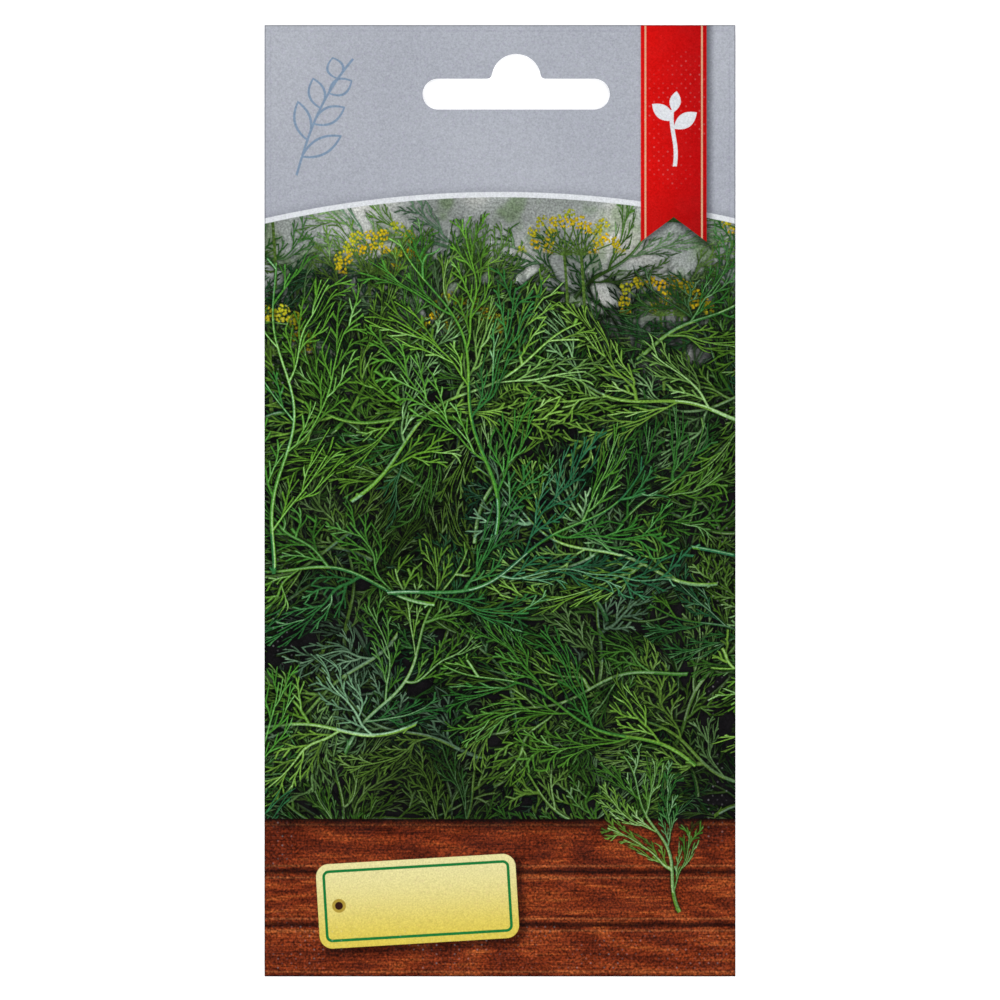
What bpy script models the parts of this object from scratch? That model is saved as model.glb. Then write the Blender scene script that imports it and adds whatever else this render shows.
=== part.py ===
"""A seed packet with a hang slot, lying on its back, with its loose dill seeds inside.

Two webs of printed film are heat-sealed together all round: a wide header at the hanging end, a narrow seal down
each side and a broader one at the foot. The slot is punched through both webs. +Z is up, out of the packet's front,
+Y runs towards the hanging end and +X to the right of the front. The origin is under the middle of the packet, on
the surface that it lies on.
"""

import math
import random

import bmesh
import bpy
from mathutils import Matrix, Vector

MM = 0.001  # metres in a millimetre

# Driving dimensions, in millimetres
PACKET_WIDTH = 80.0
PACKET_LENGTH = 161.6
FILM_THICKNESS = 0.25
CLEARANCE = 0.3  # between pieces that touch
SIDE_SEAL = 5.0
FOOT_SEAL = 9.0
HEADER_SEAL = 28.0
SEAL_LIFT = 0.5  # the seals stand this far above the surface that the packet lies on
POCKET_RISE = 1.5  # how far the front swells above the seals

# The punched slot, in millimetres: a bar with round ends and a half-round dome for the peg
SLOT_WIDTH = 31.8
SLOT_HEIGHT = 5.25
SLOT_BELOW_TOP = 9.1  # from the packet's top edge to the bar's upper edge
SLOT_OFFSET = 2.75  # to the right of the packet's centre line
DOME_RADIUS = 4.2
DOME_FILLET = 0.8
ARC_STEPS = 10

# The pocket's grid
POCKET_COLUMNS = 16
POCKET_ROWS = 26
BACK_FLAT_FROM = 0.35  # the back touches the surface wherever the pocket is open this much

# The loose seeds, in millimetres
SEED_LENGTH = 4.2
SEED_WIDTH = 2.3
SEED_THICKNESS = 0.9
SEED_RIM_POINTS = 8
SEED_SPACING = 2.85
SEED_SHIFT = 0.16  # how far a seed may stray, as a share of the spacing
HEAP_HALF_WIDTH = 17.5
HEAP_HALF_LENGTH = 27.0
HEAP_BELOW_MIDDLE = 12.0  # the seeds lie nearer the pocket's foot
UPPER_LAYER = 0.55  # the second layer's reach, as a share of the first's, and its spacing's opposite
LAYER_STEP = 0.6  # between the middles of two seeds that lie on each other
RANDOM_SEED = 7

POCKET_HALF_WIDTH = PACKET_WIDTH / 2 - SIDE_SEAL
POCKET_FOOT = -PACKET_LENGTH / 2 + FOOT_SEAL
POCKET_HEAD = PACKET_LENGTH / 2 - HEADER_SEAL
POCKET_MIDDLE = (POCKET_FOOT + POCKET_HEAD) / 2
POCKET_HALF_LENGTH = (POCKET_HEAD - POCKET_FOOT) / 2


def clear_scene():
    for thing in list(bpy.data.objects):
        bpy.data.objects.remove(thing, do_unlink=True)


def link(mesh, name):
    """Makes an object of a bmesh and puts it in the scene."""
    data = bpy.data.meshes.new(name)
    mesh.to_mesh(data)
    mesh.free()
    thing = bpy.data.objects.new(name, data)
    bpy.context.scene.collection.objects.link(thing)
    return thing


def finish(thing, colour, roughness, metallic=0.0):
    material = bpy.data.materials.new(thing.name)
    material.use_nodes = True
    shader = material.node_tree.nodes["Principled BSDF"]
    shader.inputs["Base Color"].default_value = (*colour, 1.0)
    shader.inputs["Roughness"].default_value = roughness
    shader.inputs["Metallic"].default_value = metallic
    thing.data.materials.append(material)


# The packet's form, as heights over the surface that it lies on


def fill(x, y):
    """How far the pocket is open at a point, from 0 at the seals to 1 in its middle."""
    across = min(abs(x) / POCKET_HALF_WIDTH, 1.0)
    along = min(abs(y - POCKET_MIDDLE) / POCKET_HALF_LENGTH, 1.0)
    return ((1 - across**2.4) * (1 - along**3.0)) ** 1.3


def back_under(x, y):
    share = min(fill(x, y) / BACK_FLAT_FROM, 1.0)
    return SEAL_LIFT * (1 - share * share * (3 - 2 * share))


def back_over(x, y):
    return back_under(x, y) + FILM_THICKNESS


def front_under(x, y):
    return SEAL_LIFT + FILM_THICKNESS + CLEARANCE + POCKET_RISE * fill(x, y)


def front_over(x, y):
    return front_under(x, y) + FILM_THICKNESS


# The two webs of film


def steps(start, stop, count):
    return [start + (stop - start) * i / count for i in range(count + 1)]


def film(name, under, over):
    """A closed sheet between two heights, split alike on both faces, with its lines along the pocket's edges."""
    pocket_across = steps(-POCKET_HALF_WIDTH, POCKET_HALF_WIDTH, POCKET_COLUMNS)
    xs = [-PACKET_WIDTH / 2, *pocket_across, PACKET_WIDTH / 2]
    ys = [-PACKET_LENGTH / 2, *steps(POCKET_FOOT, POCKET_HEAD, POCKET_ROWS), PACKET_LENGTH / 2]
    mesh = bmesh.new()
    low = [[mesh.verts.new((x * MM, y * MM, under(x, y) * MM)) for x in xs] for y in ys]
    high = [[mesh.verts.new((x * MM, y * MM, over(x, y) * MM)) for x in xs] for y in ys]
    for row in range(len(ys) - 1):
        for column in range(len(xs) - 1):
            corners = ((row, column), (row, column + 1), (row + 1, column + 1), (row + 1, column))
            leans_left = xs[column] * (ys[row] - POCKET_MIDDLE) < 0
            first = 1 if leans_left else 0
            turned = corners[first:] + corners[:first]
            for half in ((turned[0], turned[1], turned[2]), (turned[0], turned[2], turned[3])):
                mesh.faces.new([high[i][j] for i, j in half])
                mesh.faces.new([low[i][j] for i, j in reversed(half)])
    last_row = len(ys) - 1
    last_column = len(xs) - 1
    rim = [(0, j) for j in range(last_column)]
    rim += [(i, last_column) for i in range(last_row)]
    rim += [(last_row, j) for j in range(last_column, 0, -1)]
    rim += [(i, 0) for i in range(last_row, 0, -1)]
    for here, there in zip(rim, rim[1:] + rim[:1]):
        (i, j), (k, m) = here, there
        mesh.faces.new((low[i][j], low[k][m], high[k][m], high[i][j]))
    return link(mesh, name)


def arc(centre, radius, start, stop, count):
    """Points on an arc, with its angles in degrees."""
    turns = [math.radians(angle) for angle in steps(start, stop, count)]
    return [(centre[0] + radius * math.cos(t), centre[1] + radius * math.sin(t)) for t in turns]


def slot_outline():
    """The slot's edge, anticlockwise, about the middle of the bar's upper edge."""
    end_radius = SLOT_HEIGHT / 2
    end_x = SLOT_WIDTH / 2 - end_radius
    fillet_x = math.sqrt((DOME_RADIUS + DOME_FILLET) ** 2 - DOME_FILLET**2)
    lean = math.degrees(math.asin(DOME_FILLET / (DOME_RADIUS + DOME_FILLET)))
    points = arc((end_x, -end_radius), end_radius, -90, 90, ARC_STEPS)
    points += arc((fillet_x, DOME_FILLET), DOME_FILLET, 270, 180 + lean, 3)
    points += arc((0, 0), DOME_RADIUS, lean, 180 - lean, ARC_STEPS)[1:-1]
    points += arc((-fillet_x, DOME_FILLET), DOME_FILLET, -lean, -90, 3)
    points += arc((-end_x, -end_radius), end_radius, 90, 270, ARC_STEPS)
    return points


def slot_cutter():
    """A guide through both webs, which the part leaves out."""
    top = PACKET_LENGTH / 2 - SLOT_BELOW_TOP
    mesh = bmesh.new()
    outline = [
        mesh.verts.new(((SLOT_OFFSET + x) * MM, (top + y) * MM, -CLEARANCE * MM)) for x, y in slot_outline()
    ]
    face = mesh.faces.new(outline)
    raised = bmesh.ops.extrude_face_region(mesh, geom=[face])
    lift = SEAL_LIFT + 2 * FILM_THICKNESS + 3 * CLEARANCE
    corners = [part for part in raised["geom"] if isinstance(part, bmesh.types.BMVert)]
    bmesh.ops.translate(mesh, verts=corners, vec=(0, 0, lift * MM))
    bmesh.ops.recalc_face_normals(mesh, faces=mesh.faces)
    cutter = link(mesh, "slot_cutter")
    cutter.hide_render = True
    cutter.display_type = "WIRE"
    return cutter


def punch(web, cutter):
    cut = web.modifiers.new("hang slot", "BOOLEAN")
    cut.operation = "DIFFERENCE"
    cut.solver = "EXACT"
    cut.object = cutter


# The seeds


def heap_edge(turn):
    """How far the heap reaches in a direction, as a share of its mean size, because it is no neat oval."""
    return 1 + 0.06 * math.sin(3 * turn + 0.6) + 0.05 * math.sin(5 * turn + 2.1)


def seed_mesh():
    """One flat oval seed, pointed at both ends and highest in its middle."""
    mesh = bmesh.new()
    rim = []
    for i in range(SEED_RIM_POINTS):
        turn = math.tau * i / SEED_RIM_POINTS
        along = SEED_LENGTH / 2 * math.cos(turn)
        across = SEED_WIDTH / 2 * math.sin(turn)
        rim.append(mesh.verts.new((along * MM, across * MM, 0)))
    for side in (1, -1):
        middle = mesh.verts.new((0, 0, side * SEED_THICKNESS / 2 * MM))
        for here, there in zip(rim, rim[1:] + rim[:1]):
            face = (middle, here, there)
            mesh.faces.new(face if side == 1 else tuple(reversed(face)))
    data = bpy.data.meshes.new("seed")
    mesh.to_mesh(data)
    mesh.free()
    return data


def lay_seeds(collection, shape, draw, height, reach, spacing):
    """Lays one layer of seeds in staggered rows, each turned, shifted and tipped a little at random."""
    row_step = spacing * math.sqrt(3) / 2
    rows = math.ceil(HEAP_HALF_LENGTH / row_step)
    columns = math.ceil(HEAP_HALF_WIDTH / spacing)
    for row in range(-rows, rows + 1):
        for column in range(-columns, columns + 1):
            x = (column + row % 2 / 2 + draw.uniform(-SEED_SHIFT, SEED_SHIFT)) * spacing
            y = row * row_step + draw.uniform(-SEED_SHIFT, SEED_SHIFT) * spacing
            turn = draw.uniform(0, math.tau)
            tip = math.radians(draw.uniform(-3, 3))
            across = x / HEAP_HALF_WIDTH
            along = y / HEAP_HALF_LENGTH
            if math.hypot(across, along) > reach * heap_edge(math.atan2(along, across)):
                continue
            place = Vector((x, y + POCKET_MIDDLE - HEAP_BELOW_MIDDLE, height)) * MM
            seed = bpy.data.objects.new("seed", shape)
            turned = Matrix.Rotation(turn, 4, "Z") @ Matrix.Rotation(tip, 4, "Y")
            seed.matrix_world = Matrix.Translation(place) @ turned
            collection.objects.link(seed)


def keep_largest(data):
    """Drops loose scraps and the walls of sealed hollows from a joined mesh, which fills those hollows."""
    mesh = bmesh.new()
    mesh.from_mesh(data)
    waiting = set(mesh.verts)
    bodies = []
    while waiting:
        body = set()
        edge = [waiting.pop()]
        while edge:
            vertex = edge.pop()
            body.add(vertex)
            for bond in vertex.link_edges:
                other = bond.other_vert(vertex)
                if other in waiting:
                    waiting.remove(other)
                    edge.append(other)
        bodies.append(body)
    bodies.sort(key=len, reverse=True)
    for body in bodies[1:]:
        bmesh.ops.delete(mesh, geom=list(body), context="VERTS")
    mesh.to_mesh(data)
    mesh.free()


def seed_heap():
    """The seeds, one and two deep, each sunk a little into its neighbours so that they hold together as one body."""
    draw = random.Random(RANDOM_SEED)
    shape = seed_mesh()
    loose = bpy.data.collections.new("loose seeds")
    bpy.context.scene.collection.children.link(loose)
    lowest = FILM_THICKNESS + CLEARANCE + SEED_THICKNESS / 2
    lay_seeds(loose, shape, draw, lowest, 1.0, SEED_SPACING)
    lay_seeds(loose, shape, draw, lowest + LAYER_STEP, UPPER_LAYER, SEED_SPACING / UPPER_LAYER)
    first = loose.objects[0]
    heap = bpy.data.objects.new("seeds", shape.copy())
    heap.data.transform(first.matrix_world)
    bpy.context.scene.collection.objects.link(heap)
    bpy.data.objects.remove(first, do_unlink=True)
    join = heap.modifiers.new("loose seeds", "BOOLEAN")
    join.operation = "UNION"
    join.operand_type = "COLLECTION"
    join.collection = loose
    join.solver = "EXACT"
    seen = heap.evaluated_get(bpy.context.evaluated_depsgraph_get())
    joined = bpy.data.meshes.new_from_object(seen)
    heap.modifiers.remove(join)
    heap.data = joined
    for seed in list(loose.objects):
        bpy.data.objects.remove(seed, do_unlink=True)
    bpy.data.collections.remove(loose)
    keep_largest(joined)
    return heap


def main():
    clear_scene()
    cutter = slot_cutter()
    front = film("front_film", front_under, front_over)
    finish(front, (0.04, 0.09, 0.03), 0.35)
    back = film("back_film", back_under, back_over)
    finish(back, (0.55, 0.58, 0.6), 0.35)
    for web in (front, back):
        punch(web, cutter)
    finish(seed_heap(), (0.22, 0.13, 0.06), 0.8)


main()
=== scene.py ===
"""The looks of a seed packet: printed, satin film with embossed heat seals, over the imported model's frame.

The packet lies on its back under a camera that looks straight down on its front, with the hanging end up.
The materials' nodes draw its print: a silver header with a line sprig, a red ribbon with a seedling, feathery
fronds and yellow umbels behind a wooden board, and a blank tag.
"""

import math
import random

import bmesh
import bpy
import numpy as np
from mathutils import Matrix, Vector


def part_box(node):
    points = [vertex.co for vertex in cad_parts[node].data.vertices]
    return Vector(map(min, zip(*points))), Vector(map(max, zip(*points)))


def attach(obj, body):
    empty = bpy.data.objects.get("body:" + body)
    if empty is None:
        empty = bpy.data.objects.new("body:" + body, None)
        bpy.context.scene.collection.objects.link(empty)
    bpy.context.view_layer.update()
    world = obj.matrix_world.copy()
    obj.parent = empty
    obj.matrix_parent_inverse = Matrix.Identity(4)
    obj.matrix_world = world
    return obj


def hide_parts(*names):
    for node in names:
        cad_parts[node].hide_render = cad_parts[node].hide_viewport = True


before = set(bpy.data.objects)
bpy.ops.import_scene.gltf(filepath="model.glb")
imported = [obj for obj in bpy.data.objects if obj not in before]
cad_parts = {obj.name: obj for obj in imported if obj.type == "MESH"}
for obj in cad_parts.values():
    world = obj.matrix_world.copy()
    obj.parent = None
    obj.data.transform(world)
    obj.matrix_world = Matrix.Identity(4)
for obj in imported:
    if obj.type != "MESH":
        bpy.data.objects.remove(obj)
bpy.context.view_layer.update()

MM = 0.001  # metres in a millimetre

# The packet, in millimetres, worked out from the frame
FRONT_LOW, FRONT_HIGH = (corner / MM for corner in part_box("front_film"))
BACK_LOW, BACK_HIGH = (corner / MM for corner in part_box("back_film"))
WIDTH = FRONT_HIGH.x - FRONT_LOW.x
LENGTH = FRONT_HIGH.y - FRONT_LOW.y
THICKNESS = FRONT_HIGH.z - BACK_LOW.z
TOP = LENGTH / 2
FOOT = -LENGTH / 2

# The pocket's form, as the frame has it
SIDE_SEAL = 5.0
FOOT_SEAL = 9.0
HEADER_SEAL = 28.0
SEAM_HEIGHT = (BACK_HIGH.z + FRONT_LOW.z) / 2  # where the two webs meet at the seals
BACK_FLAT_FROM = 0.35
LAMINATE = 0.12
SEAM_GAP = 0.008
POCKET_HALF_WIDTH = WIDTH / 2 - SIDE_SEAL
POCKET_FOOT = FOOT + FOOT_SEAL
POCKET_HEAD = TOP - HEADER_SEAL
POCKET_MIDDLE = (POCKET_FOOT + POCKET_HEAD) / 2
POCKET_HALF_LENGTH = (POCKET_HEAD - POCKET_FOOT) / 2

# The hang slot
SLOT_WIDTH = 31.8
SLOT_HEIGHT = 5.25
SLOT_BELOW_TOP = 9.1
SLOT_OFFSET = 2.75
DOME_RADIUS = 4.2
DOME_FILLET = 0.8

# The seals' embossing: raised dots in staggered rows
DOT_PITCH = 1.54
DOT_RISE = 0.006
# How strongly the painted glints lighten the embossed dots
PAINTED_GLINT_STRENGTH = 0.14
SEAL_MARGIN = 1.0  # plain film outside the dots

# The photograph's frame
PIXELS_PER_MM = 471 / 80.0
PACKET_MIDDLE_BELOW_FRAME_MIDDLE = 0.75  # pixels
FRAME_PIXELS = 1000
CAMERA_HEIGHT = 0.9  # metres
SENSOR = 36.0


def srgb(red, green, blue):
    """A linear colour from the 0 to 255 that a picture viewer shows."""
    def linear(value):
        value /= 255
        return value / 12.92 if value <= 0.04045 else ((value + 0.055) / 1.055) ** 2.4
    return tuple(linear(value) for value in (red, green, blue))


def add_object(name, data):
    thing = bpy.data.objects.new(name, data)
    bpy.context.scene.collection.objects.link(thing)
    return thing


# Arithmetic in node trees

# The Mix node's colour sockets, by number, as their names aren't unique
MIX_FIRST = 6
MIX_SECOND = 7
MIX_RESULT = 2

EDGE = 0.07  # half the width over which a printed edge softens


class Term:
    """One socket of a node tree, so that chains of arithmetic nodes are written as expressions."""

    def __init__(self, pen, socket):
        self.pen = pen
        self.socket = socket

    def __add__(self, other):
        return self.pen.maths("ADD", self, other)

    def __sub__(self, other):
        return self.pen.maths("SUBTRACT", self, other)

    def __rsub__(self, other):
        return self.pen.maths("SUBTRACT", other, self)

    def __mul__(self, other):
        return self.pen.maths("MULTIPLY", self, other)

    def __truediv__(self, other):
        return self.pen.maths("DIVIDE", self, other)

    def __neg__(self):
        return self.pen.maths("MULTIPLY", self, -1.0)

    def __abs__(self):
        return self.pen.maths("ABSOLUTE", self)

    def __gt__(self, other):
        return self.pen.maths("GREATER_THAN", self, other)

    def __lt__(self, other):
        return self.pen.maths("LESS_THAN", self, other)

    __radd__ = __add__
    __rmul__ = __mul__


class Pen:
    """Adds nodes to a tree. Lengths are in millimetres and angles in radians."""

    def __init__(self, tree):
        self.tree = tree

    def node(self, kind, **settings):
        made = self.tree.nodes.new("ShaderNode" + kind)
        for name, value in settings.items():
            setattr(made, name, value)
        return made

    def feed(self, socket, value):
        if isinstance(value, Term):
            self.tree.links.new(value.socket, socket)
        elif isinstance(value, tuple) and socket.type == "RGBA":
            socket.default_value = (*value[:3], 1.0)
        else:
            socket.default_value = value

    def feed_all(self, node, values):
        for name, value in values.items():
            self.feed(node.inputs[name], value)

    def maths(self, operation, *values):
        made = self.node("Math", operation=operation)
        for socket, value in zip(made.inputs, values):
            self.feed(socket, value)
        return Term(self, made.outputs[0])

    def least(self, first, *others):
        for other in others:
            first = self.maths("MINIMUM", first, other)
        return first

    def most(self, first, *others):
        for other in others:
            first = self.maths("MAXIMUM", first, other)
        return first

    def floor(self, value):
        return self.maths("FLOOR", value)

    def sine(self, value):
        return self.maths("SINE", value)

    def smooth(self, value, start, stop):
        """0 before start and 1 past stop, with a smooth change between. Stop may be the smaller."""
        made = self.node("MapRange", interpolation_type="SMOOTHSTEP", clamp=False)
        for socket, number in zip(made.inputs, (value, start, stop)):
            self.feed(socket, number)
        return Term(self, made.outputs[0])

    def turned(self, x, y, angle):
        """The point (x, y) as seen from axes that are turned anticlockwise by an angle."""
        cosine = self.maths("COSINE", angle)
        sine = self.maths("SINE", angle)
        return x * cosine + y * sine, y * cosine - x * sine

    def split(self, value, kind="SeparateXYZ"):
        made = self.node(kind)
        self.feed(made.inputs[0], value)
        return [Term(self, socket) for socket in made.outputs]

    def draws(self, x, y, z):
        """Three numbers from 0 to 1 that depend on x, y and z alone."""
        mixed = x * 12.9898 + y * 78.233 + z * 37.719
        made = self.node("TexWhiteNoise", noise_dimensions="1D")
        self.feed(made.inputs["W"], mixed)
        return self.split(Term(self, made.outputs["Color"]), "SeparateColor")

    def noise(self, point, scale, detail=2.0, roughness=0.5, shift=None):
        """A smooth noise, mostly 0.3 to 0.7. A shift gives another stretch of it."""
        made = self.node("TexNoise", noise_dimensions="3D" if shift is None else "4D")
        self.feed(made.inputs["Vector"], point)
        if shift is not None:
            self.feed(made.inputs["W"], shift)
        self.feed_all(made, {"Scale": scale, "Detail": detail, "Roughness": roughness})
        return Term(self, made.outputs[0])

    def stretched(self, point, scale, turn=0.0):
        """The point with its axes turned and then scaled, for textures that run along a grain."""
        made = self.node("Mapping", vector_type="POINT")
        self.feed(made.inputs["Vector"], point)
        made.inputs["Rotation"].default_value = (0, 0, turn)
        made.inputs["Scale"].default_value = scale
        return Term(self, made.outputs[0])

    def spots(self, vector, scale):
        """Distance to the nearest of scattered points, in cells."""
        made = self.node("TexVoronoi", voronoi_dimensions="2D")
        self.feed(made.inputs["Vector"], vector)
        made.inputs["Scale"].default_value = scale
        return Term(self, made.outputs["Distance"])

    def mix(self, share, first, second, blend="MIX"):
        made = self.node("Mix", data_type="RGBA", blend_type=blend)
        self.feed(made.inputs["Factor"], share)
        self.feed(made.inputs[MIX_FIRST], first)
        self.feed(made.inputs[MIX_SECOND], second)
        return Term(self, made.outputs[MIX_RESULT])

    def inside(self, distance):
        """1 inside a shape, from the distance outside it."""
        return self.smooth(distance, EDGE, -EDGE)

    def painted(self, distance, colour, ink):
        """The colour with ink over it inside a shape."""
        return self.mix(self.inside(distance), colour, ink)

    def shaded(self, share, colour, tone):
        """The colour multiplied by a tone where share is 1."""
        return self.mix(share, colour, tone, "MULTIPLY")

    def scaled(self, colour, factor):
        made = self.node("CombineColor")
        for socket in made.inputs:
            self.feed(socket, factor)
        return self.mix(1.0, colour, Term(self, made.outputs[0]), "MULTIPLY")

    def ramp(self, value, *stops):
        """A colour ramp through (place, colour) stops."""
        made = self.node("ValToRGB")
        line = made.color_ramp.elements
        while len(line) < len(stops):
            line.new(1.0)
        for element, (place, colour) in zip(line, stops):
            element.position = place
            element.color = (*colour, 1.0)
        self.feed(made.inputs[0], value)
        return Term(self, made.outputs[0])

    def box(self, x, y, half_width, half_height, radius):
        """Distance outside a box with round corners about the origin, negative inside."""
        over_x = abs(x) - (half_width - radius)
        over_y = abs(y) - (half_height - radius)
        corner_x = self.most(over_x, 0.0)
        corner_y = self.most(over_y, 0.0)
        corner = self.from_origin(corner_x, corner_y)
        return corner + self.least(self.most(over_x, over_y), 0.0) - radius

    def from_origin(self, x, y):
        return self.maths("SQRT", x * x + y * y)


def place(pen):
    """The surface point, in millimetres in the packet's frame."""
    coordinates = pen.node("TexCoord")
    return pen.stretched(Term(pen, coordinates.outputs["Object"]), (1 / MM, 1 / MM, 1 / MM))


def group_pen(name, inputs, outputs):
    """A new node group to draw in, and its inputs as terms."""
    tree = bpy.data.node_groups.new(name, "ShaderNodeTree")
    for label in inputs:
        tree.interface.new_socket(label, in_out="INPUT", socket_type="NodeSocketFloat")
    for label in outputs:
        tree.interface.new_socket(label, in_out="OUTPUT", socket_type="NodeSocketFloat")
    pen = Pen(tree)
    entry = tree.nodes.new("NodeGroupInput")
    return pen, [Term(pen, entry.outputs[label]) for label in inputs]


def close_group(pen, **values):
    pen.feed_all(pen.tree.nodes.new("NodeGroupOutput"), values)


def use_group(pen, tree, **values):
    made = pen.node("Group", node_tree=tree)
    pen.feed_all(made, values)
    return {socket.name: Term(pen, socket) for socket in made.outputs}


# Motifs of the print

NOWHERE = 9.0  # added to a distance, it leaves a motif out

# A frond in its cell, before its field's size
FROND_CELL_WIDTH = 21.0
FROND_CELL_LENGTH = 36.0
FROND_HALF_LENGTH = 18.0
FROND_LEAN = 0.6
FROND_BEND = 0.024
STEM_HALF_WIDTH = 0.24
PINNA_ANGLE = math.radians(39)
PINNA_SPACING = 8.6
PINNA_REACH = 16.5
PINNA_CURVE = 0.02
PINNA_HALF_WIDTH = 0.19
PINNULE_ANGLE = math.radians(31)
PINNULE_SPACING = 3.1
PINNULE_LENGTH = 6.6
PINNULE_HALF_WIDTH = 0.16
FIRST_PINNULE = 0.9  # from the pinna's root
THREAD_ANGLE = math.radians(28)
THREAD_SPACING = 1.7
THREAD_LENGTH = 2.2
THREAD_HALF_WIDTH = 0.135

# How a field's cells shift with its seed and from row to row, so that no two fields line up
ROW_SHIFT = 0.371
COLUMN_SHIFT = 0.613
ROW_SLIDE = 0.37
TOP_FADE = 18.0
FOOT_FADE = 6.0


def side_shoots(pen, along, out, spacing, angle):
    """Folds a shoot at (along, out), which runs along its first axis, into the nearest of its side shoots.

    Gives the side shoot's number, and a point's place up it and off it.
    """
    reach = along - abs(out) / math.tan(angle)
    number = pen.floor(reach / spacing + 0.5)
    off = reach - number * spacing
    return number, abs(out) / math.sin(angle) + off * math.cos(angle), off * math.sin(angle)


def frond_group():
    """A field of feathery fronds, one in each cell of a grid: a stem, pinnae, pinnules and threads."""
    pen, (x, y, turn, size, seed, share, top, foot) = group_pen(
        "frond field",
        inputs=("X", "Y", "Turn", "Size", "Seed", "Share", "Top", "Foot"),
        outputs=("Cover", "Shadow", "Light", "Tint"),
    )
    right, up = pen.turned(x / size, y / size, turn)
    fine = pen.maths("DIVIDE", 1.0, size)
    down = up / FROND_CELL_LENGTH + seed * ROW_SHIFT
    row = pen.floor(down)
    slide = row * ROW_SLIDE + seed * COLUMN_SHIFT
    across = right / FROND_CELL_WIDTH + slide
    column = pen.floor(across)
    lean, bend, chance = pen.draws(column, row, seed)
    u = (down - row - 0.5) * FROND_CELL_LENGTH
    v = (across - column - 0.5) * FROND_CELL_WIDTH

    # A cell is left empty by chance, and where its middle lies past the field's top or foot
    centre_right = (column + 0.5 - slide) * FROND_CELL_WIDTH
    centre_up = (row + 0.5 - seed * ROW_SHIFT) * FROND_CELL_LENGTH
    height = (centre_up * pen.maths("COSINE", turn) + centre_right * pen.maths("SINE", turn)) * size
    filled = share * pen.smooth(height, top, top - TOP_FADE)
    missing = chance > filled * pen.smooth(height, foot, foot + FOOT_FADE)

    # p runs up the frond's stem and q across it, both a little bent and wavy
    lean = (lean - 0.5) * FROND_LEAN
    p = u + v * lean
    q = v - u * lean
    q = q - (bend - 0.5) * FROND_BEND * p * p
    wave = pen.sine(p * 0.31 + bend * 20.0)
    p = p + pen.sine(q * 0.42 + chance * 9.0) * 1.2 + pen.sine(q * 1.1 + p * 0.3) * 0.3
    q = q + wave * 0.9

    stem_half_width = fine * (STEM_HALF_WIDTH - p * (0.1 / FROND_HALF_LENGTH))
    stem = pen.most(abs(q) - stem_half_width, abs(p) - FROND_HALF_LENGTH)

    side = q > 0.0
    stagger = side * (0.45 * PINNA_SPACING)
    curved = p - q * q * PINNA_CURVE + stagger
    number, pinna_up, pinna_off = side_shoots(pen, curved, q, PINNA_SPACING, PINNA_ANGLE)
    pinna_draw, pinna_light, pinna_tint = pen.draws(number, side, column * 0.7 + row * 0.3 + seed)
    root = (number * PINNA_SPACING - stagger) / (2 * FROND_HALF_LENGTH) + 0.5
    length = pen.smooth(root, -0.02, 0.3) * pen.smooth(root, 1.12, 0.3)
    length = length * (0.7 + pinna_draw * 0.5) * PINNA_REACH
    sway = pen.sine(pinna_up * 0.55 + pinna_light * 8.0) * 0.35
    pinna_off = pinna_off + sway * pen.smooth(pinna_up, 0.0, 4.0)
    pinna = pen.most(abs(pinna_off) - fine * (PINNA_HALF_WIDTH - 0.004 * pinna_up), pinna_up - length)

    half = pinna_off > 0.0
    shift = half * (0.5 * PINNULE_SPACING)
    pinnule_number, pinnule_up, pinnule_off = side_shoots(
        pen, pinna_up + shift, pinna_off, PINNULE_SPACING, PINNULE_ANGLE
    )
    pinnule_draw, pinnule_light, _ = pen.draws(pinnule_number, half + pinna_light, number * 0.31)
    pinnule_root = pinnule_number * PINNULE_SPACING - shift
    reach = pen.smooth(length + 1.5, pinnule_root * 0.9, pinnule_root * 0.9 + 7.0)
    reach = reach * (0.6 + pinnule_draw * 0.7) * PINNULE_LENGTH
    pinnule_off = pinnule_off + pen.sine(pinnule_up * 0.9 + pinnule_light * 8.0) * 0.14
    pinnule = pen.most(
        abs(pinnule_off) - fine * (PINNULE_HALF_WIDTH - 0.008 * pinnule_up),
        pinnule_up - reach,
        pinnule_root - length,
        FIRST_PINNULE - pinnule_root,
    )

    part = pinnule_off > 0.0
    thread_number, thread_up, thread_off = side_shoots(
        pen, pinnule_up + part * (0.5 * THREAD_SPACING), pinnule_off, THREAD_SPACING, THREAD_ANGLE
    )
    thread_draw, thread_light, _ = pen.draws(thread_number, part + pinnule_light, pinnule_number * 0.31)
    thread = pen.most(
        abs(thread_off) - fine * THREAD_HALF_WIDTH,
        thread_up - (0.5 + thread_draw * 0.9) * THREAD_LENGTH,
        thread_number * THREAD_SPACING - reach,
        0.3 - thread_number,
        pinnule_root - length,
        FIRST_PINNULE - pinnule_root,
    )

    twig = pen.least(stem, pinna)
    blade = pen.least(pinnule, thread)
    distance = pen.least(twig, blade) + missing * NOWHERE
    is_blade = blade < twig
    blade_light = 0.28 + 0.45 * pinnule_light + 0.45 * thread_light
    light = is_blade * blade_light + (1.0 - is_blade) * (0.6 + 0.45 * pinna_light)
    close_group(
        pen,
        Cover=pen.smooth(distance, fine * 0.06, fine * -0.06),
        Shadow=pen.smooth(distance, 0.65, 0.0),
        Light=light * (0.74 + 0.4 * pen.smooth(distance, 0.0, -0.16)),
        Tint=pinna_tint * 0.45 + bend * 0.55,
    )
    return pen.tree


UMBEL_CELL_WIDTH = 17.0
UMBEL_CELL_LENGTH = 24.0
RAY_ANGLE = math.radians(17)
RAY_LENGTH = 6.6
RAY_HALF_WIDTH = 0.13
RAY_SPREAD = 1.45  # of the outermost rays to either side, in radians
STALK_HALF_WIDTH = 0.24
STALK_LENGTH = 11.5


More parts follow.
